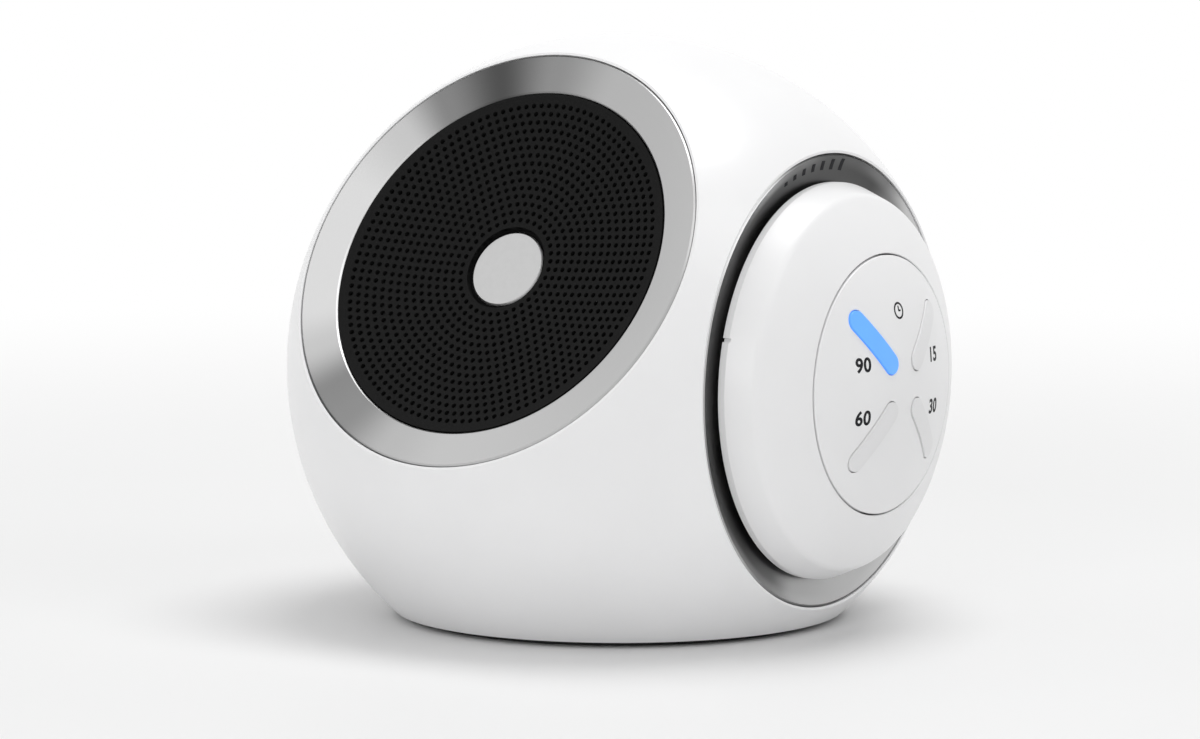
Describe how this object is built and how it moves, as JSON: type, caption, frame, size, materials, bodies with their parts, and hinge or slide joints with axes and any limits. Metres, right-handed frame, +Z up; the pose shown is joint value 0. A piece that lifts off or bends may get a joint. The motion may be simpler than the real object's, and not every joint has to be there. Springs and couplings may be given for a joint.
{
  "type": "white noise sound machine",
  "caption": "Tabletop white noise sound machine: a flat-based ball with a tilted round speaker grille, a large side volume dial and timer bars set in its centre.",
  "frame": {"origin": "centre of the round flat underside, on the surface the machine stands on", "axes": "+Z up, -Y towards the speaker side, +X towards the volume dial"},
  "size_m": [0.1183, 0.1167, 0.1033],
  "materials": {
    "white_shell": "soft gloss",
    "white_knob": "satin",
    "white_button": "satin",
    "blue_button": "lit from behind",
    "satin_metal": "circular spun",
    "cap_metal": "satin with a bright edge",
    "grille_black": "matte",
    "black_plastic": "matte",
    "foot_rubber": "matte",
    "soft_rubber": "matte",
    "speaker_steel": "satin",
    "magnet_iron": "matte",
    "screw_steel": "bright",
    "board_green": "satin",
    "contact_brass": "bright",
    "light_lens": "clear"
  },
  "bodies": {
    "housing": {"body_shell": "white_shell", "rear_cover": "white_shell", "base_plate": "black_plastic", "base_foot": "foot_rubber", "base_screws": "screw_steel", "main_board": "board_green", "main_board_parts": "black_plastic", "main_board_screws": "screw_steel", "rear_cover_screws": "screw_steel", "power_inlet": "black_plastic", "speaker_bezel": "satin_metal", "speaker_grille": "grille_black", "grille_cap": "cap_metal", "speaker_gasket": "soft_rubber", "speaker_frame": "speaker_steel", "speaker_surround": "soft_rubber", "speaker_cone": "black_plastic", "speaker_dust_cap": "black_plastic", "speaker_magnet": "magnet_iron", "speaker_screws": "screw_steel", "dial_ring": "satin_metal", "dial_carrier": "black_plastic", "dial_carrier_screws": "screw_steel", "volume_track": "board_green", "timer_board": "board_green", "timer_switches": "black_plastic", "timer_lights": "light_lens", "timer_disc": "white_knob"},
    "volume_knob": {"volume_knob": "white_knob", "volume_wiper": "contact_brass"},
    "timer_button_15": {"timer_button_15": "white_button"},
    "timer_button_30": {"timer_button_30": "white_button"},
    "timer_button_60": {"timer_button_60": "white_button"},
    "timer_button_90": {"timer_button_90": "blue_button"}
  },
  "joints": [
    {"name": "volume_turn", "type": "hinge", "parent": "housing", "child": "volume_knob", "pos_m": [0, 0, 0.04425], "axis": [1, 0, 0], "range_deg": [-208.5, 61.5]},
    {"name": "timer_press_15", "type": "slide", "parent": "housing", "child": "timer_button_15", "axis": [-1, 0, 0], "range_m": [0, 0.0007], "stiffness_N_per_m": 1500},
    {"name": "timer_press_30", "type": "slide", "parent": "housing", "child": "timer_button_30", "axis": [-1, 0, 0], "range_m": [0, 0.0007], "stiffness_N_per_m": 1500},
    {"name": "timer_press_60", "type": "slide", "parent": "housing", "child": "timer_button_60", "axis": [-1, 0, 0], "range_m": [0, 0.0007], "stiffness_N_per_m": 1500},
    {"name": "timer_press_90", "type": "slide", "parent": "housing", "child": "timer_button_90", "axis": [-1, 0, 0], "range_m": [0, 0.0007], "stiffness_N_per_m": 1500}
  ]
}
